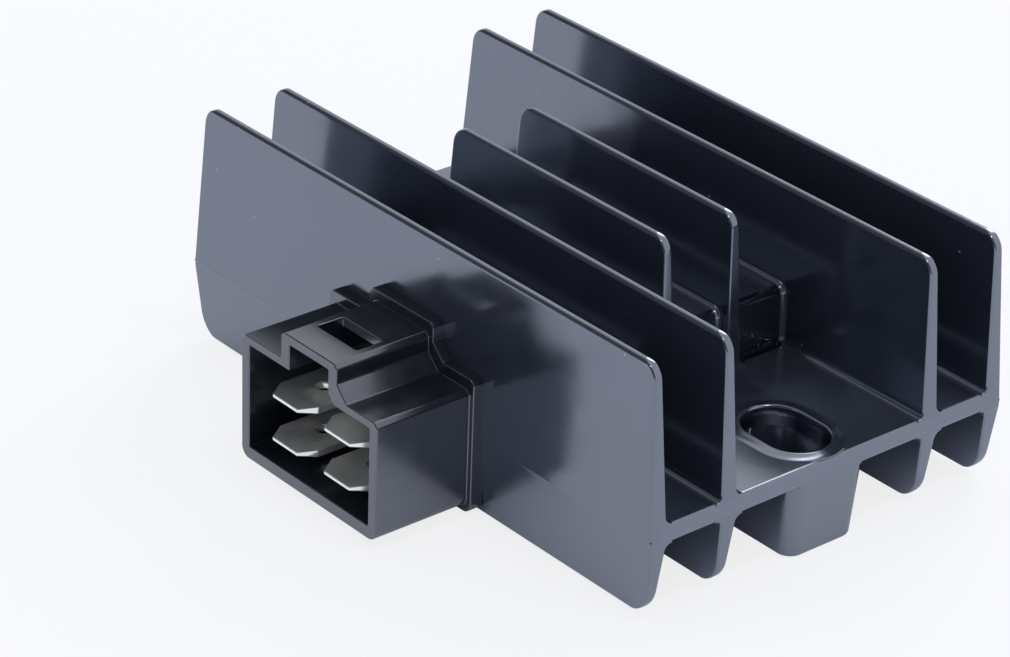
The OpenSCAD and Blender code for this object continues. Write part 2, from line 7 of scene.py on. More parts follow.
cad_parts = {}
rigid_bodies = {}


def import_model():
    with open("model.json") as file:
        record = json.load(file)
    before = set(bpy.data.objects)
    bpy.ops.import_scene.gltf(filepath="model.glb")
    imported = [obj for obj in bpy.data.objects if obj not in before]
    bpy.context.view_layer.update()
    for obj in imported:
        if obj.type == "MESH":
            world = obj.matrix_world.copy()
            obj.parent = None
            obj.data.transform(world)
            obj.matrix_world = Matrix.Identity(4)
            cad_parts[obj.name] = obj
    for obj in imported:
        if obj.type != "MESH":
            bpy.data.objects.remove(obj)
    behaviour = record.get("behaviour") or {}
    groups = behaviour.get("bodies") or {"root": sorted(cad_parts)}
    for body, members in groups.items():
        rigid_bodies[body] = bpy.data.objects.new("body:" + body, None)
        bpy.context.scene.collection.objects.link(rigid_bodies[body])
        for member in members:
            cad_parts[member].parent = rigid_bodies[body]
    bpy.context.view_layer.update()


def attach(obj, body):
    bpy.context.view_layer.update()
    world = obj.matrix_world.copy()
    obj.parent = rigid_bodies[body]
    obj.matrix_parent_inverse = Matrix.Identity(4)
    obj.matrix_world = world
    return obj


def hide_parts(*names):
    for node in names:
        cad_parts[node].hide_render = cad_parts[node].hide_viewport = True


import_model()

# ---- Heatsink casting ----
# Die-cast aluminium in one piece: a plate with four long fins, two short ones over the raised
# roof of the electronics bay, the bay's walls below, and a slotted boss at each end. Tumbled
# and dipped in gloss-black paint, so that every edge is soft and mirrors the light.

MM = 0.001
HALF_L = 36.49
PLATE_LOW = 8.4
PLATE_TOP = 10.4
FIN_LOW = 0.3
FIN_TOP = 27.3
FIN_PITCH = 9.0
FIN_COUNT = 6
FIN_HALF = 1.05
TIP_R = 0.5
LEAN_UP = 1.45
LEAN_DOWN = 0.9
TOP_CORNER_R = 2.0
LOW_CORNER_R = 3.1
FIN_EDGE_R = 0.25
ROOT_R = 0.8
SHORT_HALF_L = 17.4
SHORT_LEAN = 1.1
PARTING_Z = 9.0
FLASH_H = 0.05
FLASH_W = 0.18
ROUND_SINES = [math.sin(math.radians(a)) for a in range(0, 91, 10)]


def linear(hex_colour):
    """The four linear values of an sRGB hex colour."""
    values = [int(hex_colour[i:i + 2], 16) / 255 for i in (1, 3, 5)]
    return [v / 12.92 if v <= 0.04045 else ((v + 0.055) / 1.055) ** 2.4 for v in values] + [1.0]


def add_node(tree, kind, inputs=(), **settings):
    """Adds a node with its settings; inputs maps a socket to a value or to another node's output."""
    node = tree.nodes.new(kind)
    for name, value in settings.items():
        setattr(node, name, value)
    for socket, value in dict(inputs).items():
        if isinstance(value, bpy.types.NodeSocket):
            tree.links.new(value, node.inputs[socket])
        else:
            node.inputs[socket].default_value = value
    return node


def new_material(name):
    """An empty node material and its tree."""
    material = bpy.data.materials.new(name)
    material.use_nodes = True
    material.node_tree.nodes.clear()
    return material, material.node_tree


def ring(x, y, half_x, half_y, radius, z, steps):
    """Points of a level rounded rectangle round (x, y), in metres."""
    points = []
    for corner, (sx, sy) in enumerate([(1, 1), (-1, 1), (-1, -1), (1, -1)]):
        for step in range(steps + 1):
            angle = math.radians(90 * (corner + step / steps))
            points.append(Vector((x + sx * (half_x - radius) + radius * math.cos(angle),
                                  y + sy * (half_y - radius) + radius * math.sin(angle), z)) * MM)
    return points


def skin(body, rings, ends):
    """Joins each ring of points to the next. The ends are "closed", "open" or "joined" to each other."""
    loops = [[body.verts.new(point) for point in points] for points in rings]
    following = loops[1:] + loops[:1] if ends == "joined" else loops[1:]
    for low, high in zip(loops, following):
        for i in range(len(low)):
            j = (i + 1) % len(low)
            body.faces.new((low[i], low[j], high[j], high[i]))
    if ends == "closed":
        body.faces.new(loops[0])
        body.faces.new(loops[-1])
    return loops


def finished_mesh(body, name):
    """Welds the drawn skins, turns every face outwards and shades them smooth."""
    bmesh.ops.remove_doubles(body, verts=body.verts, dist=1e-7)
    bmesh.ops.recalc_face_normals(body, faces=body.faces)
    for face in body.faces:
        face.smooth = True
    mesh = bpy.data.meshes.new(name)
    body.to_mesh(mesh)
    body.free()
    return mesh


def flash(z):
    """Height of the fine line that the two halves of the die leave where they part."""
    return FLASH_H * max(0, 1 - abs(z - PARTING_Z) / FLASH_W)


def corner_cut(depth, radius, lean):
    """How far a rounded corner stands back from a leaning end, at that depth inside its tip."""
    if depth >= radius * (1 - math.sin(math.atan(lean))):
        return 0.0
    slope = radius / math.cos(math.atan(lean)) - (radius - depth) * lean
    return slope - math.sqrt(max(0, radius ** 2 - (radius - depth) ** 2))


def fin_half_length(z):
    """Half the length of a long fin at that height. Its ends lean in from the plate both ways."""
    if z >= PLATE_LOW:
        lean = LEAN_UP / (FIN_TOP - PLATE_LOW)
        return HALF_L - (z - PLATE_LOW) * lean - corner_cut(FIN_TOP - z, TOP_CORNER_R, lean) + flash(z)
    lean = LEAN_DOWN / (PLATE_LOW - FIN_LOW)
    return HALF_L - (PLATE_LOW - z) * lean - corner_cut(z - FIN_LOW, LOW_CORNER_R, lean)


def short_half_length(z):
    """Half the length of a short fin, which leans in upwards."""
    lean = SHORT_LEAN / (FIN_TOP - PLATE_TOP)
    return SHORT_HALF_L - (z - PLATE_TOP) * lean - corner_cut(FIN_TOP - z, TOP_CORNER_R, lean)


def fin_half_thickness(z):
    """Half the thickness of a fin at that height: drafted both ways, with a fully rounded tip."""
    end = FIN_TOP if z >= PARTING_Z else FIN_LOW
    depth = abs(end - z)
    if depth < TIP_R:
        return math.sqrt(max(0, TIP_R ** 2 - (TIP_R - depth) ** 2))
    return TIP_R + (FIN_HALF - TIP_R) * (depth - TIP_R) / (abs(end - PARTING_Z) - TIP_R) + flash(z)


def root_flare(z, radius=ROOT_R):
    """How far the fillet at a foot stands out at that height above or below the plate."""
    height = max(z - PLATE_TOP, PLATE_LOW - z, 0)
    return radius - math.sqrt(radius ** 2 - (radius - min(height, radius)) ** 2)


def apart(heights):
    """The heights in order, without those that all but coincide."""
    kept = []
    for z in sorted(heights):
        if not kept or z - kept[-1] > 0.012:
            kept.append(z)
    return kept


upper_rounds = [FIN_TOP - r * (1 - s) for r in (TIP_R, TOP_CORNER_R) for s in ROUND_SINES]
lower_rounds = [FIN_LOW + r * (1 - s) for r in (TIP_R, LOW_CORNER_R) for s in ROUND_SINES]
upper_roots = [PLATE_TOP + ROOT_R * (1 - s) for s in ROUND_SINES]
lower_roots = [PLATE_LOW - ROOT_R * (1 - s) for s in ROUND_SINES]
parting = [PARTING_Z + FLASH_W * s for s in (-1, -0.5, 0, 0.5, 1)]
UPPER = apart(parting + upper_roots + upper_rounds)[:-1] + [FIN_TOP]
LOWER = [FIN_LOW] + apart(lower_rounds + lower_roots + parting)[1:]
WHOLE = [FIN_LOW] + apart(lower_rounds + lower_roots + parting + upper_roots + upper_rounds)[1:-1] + [FIN_TOP]


def long_fin(body, heights, near, side, roots):
    """A long fin along y = 0. near is where it starts, or None for the other end; side is the end
    that it runs to, and roots are the faces that have a fillet."""
    rings = []
    for z in heights:
        far = fin_half_length(z)
        start = -far if near is None else near
        half = fin_half_thickness(z)
        low_y = half + (root_flare(z) if -1 in roots else 0)
        high_y = half + (root_flare(z) if 1 in roots else 0)
        rings.append(ring(side * (far + start) / 2, (high_y - low_y) / 2, (far - start) / 2,
                          (high_y + low_y) / 2, min(FIN_EDGE_R, half), z, 5))
    skin(body, rings, "open")


def short_fin(body):
    """A short fin along y = 0, with a fillet all round its foot."""
    rings = []
    for z in [PLATE_TOP - 0.5] + UPPER[len(parting):]:
        half = fin_half_thickness(z)
        flare = root_flare(z)
        rings.append(ring(0, 0, short_half_length(z) + flare, half + flare, min(FIN_EDGE_R, half) + flare, z, 5))
    skin(body, rings, "open")


# The casting's other forms: the plate with the two slots and the lips round them.
END_R = 0.4
SLOT_X = 29.75
SLOT_HALF = 1.5
BORE_R = 3.4
BORE_MOUTH_R = 3.65
LIP = [(5.10, 0.0), (4.85, 0.008), (4.60, 0.03), (4.38, 0.062), (4.18, 0.10), (4.00, 0.14), (3.86, 0.175),
       (3.74, 0.20), (3.65, 0.205), (3.57, 0.185), (3.50, 0.14), (3.45, 0.075), (3.415, 0.0),
       (BORE_R, -0.12)]
BOSS_X = 29.8
BOSS_HALF_L = 6.7
BOSS_HALF_W = 5.1
BOSS_LEAN = 0.55
BOSS_R = 1.9
BOSS_EDGE_R = 0.45
BOSS_ROOT_R = 0.4
BAY_Y = -4.5
BAY_HALF_L = 13.85
BAY_HALF_W = 16.9
BAY_WALL = 1.9
BAY_BACK = 1.1
BAY_EDGE_R = 0.35
ROOF_Z = 16.6
ROOF_HALF_L = 16.1
ROOF_LEAN = 0.35
ROOF_EDGE_R = 0.9
ROOF_ROOT_R = 0.6


body = bmesh.new()
rows = [(PLATE_TOP - END_R * (1 - s), END_R * (1 - math.sqrt(1 - s * s))) for s in reversed(ROUND_SINES)]
rows += [(z, 0) for z in reversed(parting)]
rows += [(PLATE_LOW + END_R * (1 - s), END_R * (1 - math.sqrt(1 - s * s))) for s in ROUND_SINES]
half_w = FIN_PITCH * (FIN_COUNT - 1) / 2
skin(body, [ring(0, 0, fin_half_length(z) + 0.005 - inset, half_w, 0.2, z, 1) for z, inset in rows], "open")
for side in (-1, 1):
    lip = [ring(side * SLOT_X, 0, SLOT_HALF + r, r, r, PLATE_TOP + rise, 20) for r, rise in LIP]
    lip.append(ring(side * SLOT_X, 0, SLOT_HALF + BORE_R, BORE_R, BORE_R, PLATE_LOW, 20))
    skin(body, lip, "open")
bmesh.ops.remove_doubles(body, verts=body.verts, dist=1e-7)
for z, facing in ((PLATE_TOP, 1), (PLATE_LOW, -1)):
    rims = [edge for edge in body.edges if edge.is_boundary and abs(edge.verts[0].co.z - z * MM) < 1e-6]
    bmesh.ops.triangle_fill(body, use_beauty=True, edges=rims, normal=(0, 0, facing))

# The bosses under the slots. Each one's outer face is flush with the end of the plate.
boss_roots = [PLATE_LOW - BOSS_ROOT_R * s for s in (1, 0.75, 0.55, 0.38, 0.24, 0.13, 0.05, 0)]
for side in (-1, 1):
    boss = [ring(side * SLOT_X, 0, SLOT_HALF + r, r, r, z, 20)
            for r, z in [(BORE_R, PLATE_LOW - 0.01), (BORE_R, 0.25), (BORE_MOUTH_R, 0.0)]]
    outside = [(BOSS_EDGE_R * (1 - s), BOSS_EDGE_R * (1 - math.sqrt(1 - s * s)), 0) for s in reversed(ROUND_SINES)]
    outside += [(z, 0, root_flare(z, BOSS_ROOT_R)) for z in boss_roots]
    outside += [(PARTING_Z - 0.08, 0, BOSS_ROOT_R), (PARTING_Z, 0.3, BOSS_ROOT_R)]
    for z, inset, flare in outside:
        inset += BOSS_LEAN * max(0, PLATE_LOW - z) / PLATE_LOW
        outer_x = min(HALF_L - inset, fin_half_length(z) + 0.006) if z >= PLATE_LOW else HALF_L - inset
        inner_x = BOSS_X - BOSS_HALF_L + inset - flare
        boss.append(ring(side * (outer_x + inner_x) / 2, 0, (outer_x - inner_x) / 2, BOSS_HALF_W - inset + flare,
                         BOSS_R - inset / 2, z, 20))
    skin(body, boss, "joined")

# The walls of the electronics bay, under the plate.
bay = [ring(0, BAY_Y, BAY_HALF_L, BAY_HALF_W, 0.4, PARTING_Z, 4)]
bay += [ring(0, BAY_Y, BAY_HALF_L + out, BAY_HALF_W + out, 0.4 + out, z, 4)
        for z, out in [(FIN_LOW + BAY_EDGE_R * (1 - s), BAY_EDGE_R * (1 - math.sqrt(1 - s * s))) for s in ROUND_SINES]]
for z, grow in ([(FIN_LOW + BAY_EDGE_R * (1 - s), -BAY_EDGE_R * (1 - math.sqrt(1 - s * s))) for s in reversed(ROUND_SINES)]
                + [(z, root_flare(z)) for z in reversed(lower_roots)] + [(PARTING_Z + FLASH_W, ROOT_R)]):
    bay.append(ring(0, BAY_Y, BAY_HALF_L + BAY_WALL + grow, BAY_HALF_W + BAY_BACK + grow, 1.0 + grow, z, 4))
skin(body, bay, "joined")

# The raised roof over the bay: its outline from one foot to the other, with the way that it faces.
lean = math.atan(ROOF_LEAN / (ROOF_Z - PLATE_TOP))
centre_z = ROOF_Z - ROOF_EDGE_R
centre_x = ROOF_HALF_L - (centre_z - PLATE_TOP) * math.tan(lean) - ROOF_EDGE_R / math.cos(lean)
outline = []
for step in range(9):
    angle = (math.pi / 2 - lean) * step / 8
    outline.append((ROOF_HALF_L + ROOT_R * (1 - math.sin(angle)), PLATE_TOP + ROOT_R * (1 - math.cos(angle)),
                    math.sin(angle), math.cos(angle)))
for step in range(9):
    angle = lean + (math.pi / 2 - lean) * step / 8
    outline.append((centre_x + ROOF_EDGE_R * math.cos(angle), centre_z + ROOF_EDGE_R * math.sin(angle),
                    math.cos(angle), math.sin(angle)))
outline += [(-x, z, -nx, nz) for x, z, nx, nz in reversed(outline)]
roof_y0 = -half_w
roof_y1 = BAY_Y + BAY_HALF_W + BAY_BACK
section = [(x, z) for x, z, nx, nz in outline] + [(-ROOF_HALF_L, PARTING_Z), (ROOF_HALF_L, PARTING_Z)]
skin(body, [[Vector((x, y, z)) * MM for x, z in section] for y in (roof_y0, roof_y1)], "closed")

# Fillets where the fins rise from the roof.
for number in range(5):
    y = (number - (FIN_COUNT - 1) / 2) * FIN_PITCH
    for side in (-1, 1):
        if (number, side) in ((0, -1), (4, 1)):
            continue
        run = []
        for x, z, nx, nz in outline[4:-4]:
            face_y = y + side * (fin_half_thickness(z) - 0.03)
            points = [(face_y, -0.3)]
            points += [(face_y + side * ROOF_ROOT_R * (1 - math.sqrt(1 - s * s)), ROOF_ROOT_R * (1 - s)) for s in ROUND_SINES]
            points.append((face_y + side * ROOF_ROOT_R, -0.3))
            run.append([Vector((x + nx * out, py, z + nz * out)) * MM for py, out in points])
        skin(body, run, "closed")

# The fins stand in a row at one pitch: an outer fin at each end, with a fillet on its inner side
# only, the fin that the bay's opening interrupts, the two short ones, and a plain inner one.
kinds = bpy.data.collections.new("kinds of fin")
for name in ["1 outer fin", "2 fin over the bay", "3 short fin", "4 inner fin"]:
    drawn = bmesh.new()
    if name.startswith("1"):
        long_fin(drawn, WHOLE, None, 1, [1])
    elif name.startswith("2"):
        long_fin(drawn, UPPER, None, 1, [-1, 1])
        for side in (-1, 1):
            long_fin(drawn, LOWER, BAY_HALF_L + BAY_WALL / 2, side, [-1, 1])
    elif name.startswith("3"):
        short_fin(drawn)
    else:
        long_fin(drawn, WHOLE, None, 1, [-1, 1])
    kinds.objects.link(bpy.data.objects.new(name, finished_mesh(drawn, name)))

fin_row = bpy.data.node_groups.new("row of cast fins", "GeometryNodeTree")
sockets = {}
for label, kind in [("Kinds of fin", "NodeSocketCollection"), ("Count", "NodeSocketInt"),
                    ("Pitch", "NodeSocketFloat"), ("Finish", "NodeSocketMaterial")]:
    sockets[label] = fin_row.interface.new_socket(label, in_out="INPUT", socket_type=kind).identifier
fin_row.interface.new_socket("Fins", in_out="OUTPUT", socket_type="NodeSocketGeometry")
given = add_node(fin_row, "NodeGroupInput")
gaps = add_node(fin_row, "ShaderNodeMath", {0: given.outputs["Count"], 1: 1.0}, operation="SUBTRACT")
half_row = add_node(fin_row, "ShaderNodeMath", {0: gaps.outputs[0], 1: -0.5}, operation="MULTIPLY")
first_y = add_node(fin_row, "ShaderNodeMath", {0: half_row.outputs[0], 1: given.outputs["Pitch"]}, operation="MULTIPLY")
first = add_node(fin_row, "ShaderNodeCombineXYZ", {"Y": first_y.outputs[0]})
step = add_node(fin_row, "ShaderNodeCombineXYZ", {"Y": given.outputs["Pitch"]})
line = add_node(fin_row, "GeometryNodeMeshLine", {"Count": given.outputs["Count"], "Start Location": first.outputs[0],
                                                  "Offset": step.outputs[0]}, mode="OFFSET")
place = add_node(fin_row, "GeometryNodeInputIndex")
which = add_node(fin_row, "GeometryNodeIndexSwitch", data_type="INT")
for extra in range(FIN_COUNT - 2):
    which.index_switch_items.new()
fin_row.links.new(place.outputs[0], which.inputs[0])
for number, kind in enumerate([0, 1, 2, 2, 3, 0]):
    which.inputs[number + 1].default_value = kind
last = add_node(fin_row, "FunctionNodeCompare", {2: place.outputs[0], 3: gaps.outputs[0]},
                data_type="INT", operation="EQUAL")
half_turn = add_node(fin_row, "ShaderNodeMath", {0: last.outputs[0], 1: math.pi}, operation="MULTIPLY")
turned = add_node(fin_row, "ShaderNodeCombineXYZ", {"Z": half_turn.outputs[0]})
chosen = add_node(fin_row, "GeometryNodeCollectionInfo", {0: given.outputs["Kinds of fin"], 1: True, 2: True})
stood = add_node(fin_row, "GeometryNodeInstanceOnPoints", {
    "Points": line.outputs[0], "Instance": chosen.outputs[0], "Pick Instance": True,
    "Instance Index": which.outputs[0], "Rotation": turned.outputs[0]})
real = add_node(fin_row, "GeometryNodeRealizeInstances", {0: stood.outputs[0]})
coated = add_node(fin_row, "GeometryNodeSetMaterial", {"Geometry": real.outputs[0], "Material": given.outputs["Finish"]})
add_node(fin_row, "NodeGroupOutput", {0: coated.outputs[0]})

# Gloss-black dip paint, about 20 micrometres thick, over a cast surface. It mirrors like dark
# glass, with the soft waviness of the casting, slightly matt patches, a thinner, paler coat on
# the edges and a few specks of dust.
casting_coat, tree = new_material("black dip paint on die-cast aluminium")
COAT = linear("#262a32")
COAT_THIN = linear("#3a3f48")
PATCH_SIZE = 6.0
WAVE_SIZE = 2.2
GRAIN_SIZE = 0.35
DUST_GAP = 3.0
place = add_node(tree, "ShaderNodeTexCoord")
patches = add_node(tree, "ShaderNodeTexNoise", {"Vector": place.outputs["Object"], "Scale": 1 / (PATCH_SIZE * MM),
                                                "Detail": 3.0})
waves = add_node(tree, "ShaderNodeTexNoise", {"Vector": place.outputs["Object"], "Scale": 1 / (WAVE_SIZE * MM),
                                              "Detail": 1.0})
grain = add_node(tree, "ShaderNodeTexNoise", {"Vector": place.outputs["Object"], "Scale": 1 / (GRAIN_SIZE * MM),
                                              "Detail": 2.0})
shape = add_node(tree, "ShaderNodeNewGeometry")
edges = add_node(tree, "ShaderNodeMapRange", {0: shape.outputs["Pointiness"], 1: 0.515, 2: 0.6, 3: 0.0, 4: 1.0})
worn = add_node(tree, "ShaderNodeMath", {0: edges.outputs[0], 1: patches.outputs["Fac"]}, operation="MULTIPLY")
tint = add_node(tree, "ShaderNodeMix", {0: worn.outputs[0], 6: COAT, 7: COAT_THIN}, data_type="RGBA")
dots = add_node(tree, "ShaderNodeTexVoronoi", {"Vector": place.outputs["Object"], "Scale": 1 / (DUST_GAP * MM)})
near_dot = add_node(tree, "ShaderNodeMapRange", {0: dots.outputs["Distance"], 1: 0.03, 2: 0.05, 3: 1.0, 4: 0.0})
which_dot = add_node(tree, "ShaderNodeSeparateColor", {0: dots.outputs["Color"]})
kept_dot = add_node(tree, "ShaderNodeMath", {0: which_dot.outputs[0], 1: 0.3}, operation="LESS_THAN")
dust = add_node(tree, "ShaderNodeMath", {0: near_dot.outputs[0], 1: kept_dot.outputs[0]}, operation="MULTIPLY")
dusty = add_node(tree, "ShaderNodeMix", {0: dust.outputs[0], 6: tint.outputs[2], 7: linear("#8f959d")},
                 data_type="RGBA")
gloss = add_node(tree, "ShaderNodeMapRange", {0: patches.outputs["Fac"], 1: 0.3, 2: 0.7, 3: 0.13, 4: 0.2})
bump_waves = add_node(tree, "ShaderNodeBump", {"Height": waves.outputs["Fac"], "Strength": 0.25, "Distance": 0.00001})
bump_grain = add_node(tree, "ShaderNodeBump", {"Height": grain.outputs["Fac"], "Strength": 0.25,
                                               "Distance": 0.000004, "Normal": bump_waves.outputs["Normal"]})
surface = add_node(tree, "ShaderNodeBsdfPrincipled", {
    "Base Color": dusty.outputs[2], "Roughness": gloss.outputs[0], "Normal": bump_grain.outputs["Normal"],
    "IOR": 2.0, "Specular IOR Level": 1.0, "Specular Tint": linear("#dfe9ff")})
add_node(tree, "ShaderNodeOutputMaterial", {"Surface": surface.outputs[0]})

fins = bpy.data.objects.new("fins", bpy.data.meshes.new("fins"))
bpy.context.scene.collection.objects.link(fins)
row = fins.modifiers.new("row of cast fins", "NODES")
row.node_group = fin_row
row[sockets["Kinds of fin"]] = kinds
row[sockets["Count"]] = FIN_COUNT
row[sockets["Pitch"]] = FIN_PITCH * MM
row[sockets["Finish"]] = casting_coat
stood_fins = bpy.data.meshes.new_from_object(fins.evaluated_get(bpy.context.evaluated_depsgraph_get()))
body.from_mesh(stood_fins)
bpy.data.objects.remove(fins)
for kind in list(kinds.objects):
    bpy.data.objects.remove(kind)
bpy.data.collections.remove(kinds)

casting = bpy.data.objects.new("heatsink_casting", finished_mesh(body, "heatsink_casting"))
casting.data.materials.append(casting_coat)
bpy.context.scene.collection.objects.link(casting)
shading = casting.modifiers.new("flat faces stay flat", "WEIGHTED_NORMAL")
shading.keep_sharp = True
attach(casting, "root")
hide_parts("heatsink")

# ---- Socket moulding ----
# Glass-filled nylon, moulded in one shot: a four-way socket with a latch channel over it, a
# flange that lies on the first fin and a neck that reaches into the bay.

def merged_copy(node_name, piece_name):
    """A welded copy of a CAD node, with each flat face in one piece."""
    mesh = bpy.data.objects[node_name].data.copy()
    mesh.name = piece_name
    body = bmesh.new()
    body.from_mesh(mesh)
    bmesh.ops.remove_doubles(body, verts=body.verts, dist=2e-6)
    bmesh.ops.dissolve_limit(body, angle_limit=math.radians(0.4), verts=body.verts, edges=body.edges)
    body.to_mesh(mesh)
    body.free()
    mesh.materials.clear()
    piece = bpy.data.objects.new(piece_name, mesh)
    bpy.context.scene.collection.objects.link(piece)
    return piece


def soften(piece, width, segments, angle):
    """Rounds every edge sharper than the angle, and shades the piece smooth."""
    for polygon in piece.data.polygons:
        polygon.use_smooth = True
    bevel = piece.modifiers.new("soft edges", "BEVEL")
    bevel.width = width
    bevel.segments = segments
    bevel.limit_method = "ANGLE"
    bevel.angle_limit = math.radians(angle)
    bevel.use_clamp_overlap = False
    bevel.miter_outer = "MITER_ARC"
    shading = piece.modifiers.new("flat faces stay flat", "WEIGHTED_NORMAL")
    shading.keep_sharp = True


FLANGE_BACK = -23.6
FLANGE_SUNK = 0.5
NYLON_DARK = "#121419"
NYLON_LIGHT = "#1b1e24"

# Moulded black nylon, polished tool: a little softer than the coat, with faint flow mottling.
socket_nylon, tree = new_material("moulded black nylon")
place = add_node(tree, "ShaderNodeTexCoord")
flow = add_node(tree, "ShaderNodeTexNoise", {"Vector": place.outputs["Object"], "Scale": 350.0, "Detail": 3.0})
fibres = add_node(tree, "ShaderNodeTexNoise", {"Vector": place.outputs["Object"], "Scale": 4000.0, "Detail": 2.0})
tint = add_node(tree, "ShaderNodeMix", {0: flow.outputs["Fac"], 6: linear(NYLON_DARK), 7: linear(NYLON_LIGHT)},
                data_type="RGBA")
gloss = add_node(tree, "ShaderNodeMapRange", {0: flow.outputs["Fac"], 1: 0.3, 2: 0.7, 3: 0.16, 4: 0.24})
bump = add_node(tree, "ShaderNodeBump", {"Height": fibres.outputs["Fac"], "Strength": 0.4, "Distance": 0.0000015})
surface = add_node(tree, "ShaderNodeBsdfPrincipled", {
    "Base Color": tint.outputs[2], "Roughness": gloss.outputs[0], "Normal": bump.outputs["Normal"],
    "IOR": 1.8, "Specular IOR Level": 1.0, "Specular Tint": linear("#e6eeff")})
add_node(tree, "ShaderNodeOutputMaterial", {"Surface": surface.outputs[0]})

socket = merged_copy("connector_housing", "socket_moulding")
for vert in socket.data.vertices:
    if abs(vert.co.y - FLANGE_BACK * MM) < 2e-5:
        vert.co.y += FLANGE_SUNK * MM
soften(socket, 0.00013, 3, 40)
socket.data.materials.append(socket_nylon)
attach(socket, "root")
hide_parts("connector_housing")

# ---- Blades ----
# Four 6.3 mm blades stamped from brass strip and tinned. The punch leaves rounded edges, the
# tips are coined thinner as a lead-in, and a round detent hole holds the plug's contacts.

BLADE_NAMES = ["battery_terminal", "ground_terminal", "charge_coil_terminal", "lighting_coil_terminal"]
COINED_T = 0.5

# Matt tin over brass: its fine crystals scatter a part of the light, and the strip's rolling
# lines run along the blade under them. Faces that point forward, mostly the coined tips, are glossier, and their colour
# is a painted highlight: near white, for the light that they mirror.
tinned_brass, tree = new_material("tinned brass strip")
place = add_node(tree, "ShaderNodeTexCoord")
stretch = add_node(tree, "ShaderNodeMapping", {"Vector": place.outputs["Object"], "Scale": (6000.0, 400.0, 6000.0)})
rolled = add_node(tree, "ShaderNodeTexNoise", {"Vector": stretch.outputs[0], "Scale": 1.0, "Detail": 2.0})
stains = add_node(tree, "ShaderNodeTexNoise", {"Vector": place.outputs["Object"], "Scale": 500.0, "Detail": 3.0})
tint = add_node(tree, "ShaderNodeMix", {0: stains.outputs["Fac"], 6: linear("#c9cabf"), 7: linear("#ececea")},
                data_type="RGBA")
forward = add_node(tree, "ShaderNodeVectorMath", {0: place.outputs["Normal"], 1: (0.0, -1.0, 0.0)},
                   operation="DOT_PRODUCT")
forward_polish_and_painted_highlight = add_node(tree, "ShaderNodeMapRange", {0: forward.outputs["Value"], 1: 0.35, 2: 0.5, 3: 0.0, 4: 1.0})
# Painted highlight: the faces that point forward take a near-white colour in place of the light that they mirror.
painted_highlight_tint = add_node(tree, "ShaderNodeMix", {0: forward_polish_and_painted_highlight.outputs[0], 6: tint.outputs[2], 7: linear("#fbfbf8")},
                  data_type="RGBA")
gloss = add_node(tree, "ShaderNodeMapRange", {0: stains.outputs["Fac"], 1: 0.3, 2: 0.7, 3: 0.42, 4: 0.55})
burnished = add_node(tree, "ShaderNodeMix", {0: forward_polish_and_painted_highlight.outputs[0], 2: gloss.outputs[0], 3: 0.2}, data_type="FLOAT")
bump = add_node(tree, "ShaderNodeBump", {"Height": rolled.outputs["Fac"], "Strength": 0.3, "Distance": 0.000005})
surface = add_node(tree, "ShaderNodeBsdfPrincipled", {
    "Base Color": painted_highlight_tint.outputs[2], "Metallic": 0.75, "Roughness": burnished.outputs[0],
    "Normal": bump.outputs["Normal"]})
add_node(tree, "ShaderNodeOutputMaterial", {"Surface": surface.outputs[0]})

for name in BLADE_NAMES:
    blade = merged_copy(name, name.replace("terminal", "blade"))
    points = [v.co for v in blade.data.vertices]
    tip = min(p.y for p in points)
    at_tip = [v for v in blade.data.vertices if v.co.y < tip + 1e-5]
    middle = sum(v.co.z for v in at_tip) / len(at_tip)
    for v in at_tip:
        v.co.z = middle + (v.co.z - middle) * COINED_T
    soften(blade, 0.0001, 3, 30)
    blade.data.materials.append(tinned_brass)
    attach(blade, "root")
    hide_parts(name)

# ---- Circuit board ----
# Glass-cloth laminate, sawn to size and lacquered green. It hangs in the resin from the pins and
# wires that are soldered through it.

def moulded_material(name, dark, light, grain, roughness, depth, metallic):
    """A material whose colour and gloss vary over the grain, in mm, with paler rubbed edges.
    The depth of its bumps is in mm too."""
    material, tree = new_material(name)
    place = add_node(tree, "ShaderNodeTexCoord")
    spots = add_node(tree, "ShaderNodeTexNoise", {"Vector": place.outputs["Object"], "Scale": 1 / (grain * MM),
                                                  "Detail": 3.0})
    shape = add_node(tree, "ShaderNodeNewGeometry")
    rubbed = add_node(tree, "ShaderNodeMapRange", {0: shape.outputs["Pointiness"], 1: 0.52, 2: 0.62})
    shade = add_node(tree, "ShaderNodeMath", {0: spots.outputs["Fac"], 1: rubbed.outputs[0]}, operation="ADD",
                     use_clamp=True)
    tint = add_node(tree, "ShaderNodeMix", {0: shade.outputs[0], 6: linear(dark), 7: linear(light)},
                    data_type="RGBA")
    gloss = add_node(tree, "ShaderNodeMapRange", {0: spots.outputs["Fac"], 1: 0.3, 2: 0.7, 3: roughness,
                                                  4: roughness + 0.12})
    bump = add_node(tree, "ShaderNodeBump", {"Height": spots.outputs["Fac"], "Strength": 0.6,
                                             "Distance": depth * MM})
    surface = add_node(tree, "ShaderNodeBsdfPrincipled", {
        "Base Color": tint.outputs[2], "Metallic": metallic, "Roughness": gloss.outputs[0],
        "Normal": bump.outputs["Normal"]})
    add_node(tree, "ShaderNodeOutputMaterial", {"Surface": surface.outputs[0]})
    return material


def dress(node_names, material):
    """Gives CAD nodes that stay as they are their material."""
    for name in node_names:
        node = bpy.data.objects[name]
        node.data.materials.clear()
        node.data.materials.append(material)


# Green lacquer that the cloth's weave dimples every half millimetre.
laminate = moulded_material("green lacquered glass laminate", "#1c4a2c", "#2f6a40", 0.5, 0.3, 0.01, 0.0)
dress(["circuit_board"], laminate)

# ---- Insulating pads ----
# Two grey silicone sheets filled with ceramic powder, pressed between the thyristors and the
# roof of the bay.

# The powder makes the rubber chalky, with no gloss at all.
silicone = moulded_material("ceramic-filled silicone sheet", "#82868d", "#a3a7ad", 0.3, 0.75, 0.01, 0.0)
dress(["insulating_pad_far", "insulating_pad_near"], silicone)

# ---- Thyristors ----
# Two three-legged thyristors: a moulded epoxy body over a plated copper tab, lying on its pad,
# with legs bent down through the board.

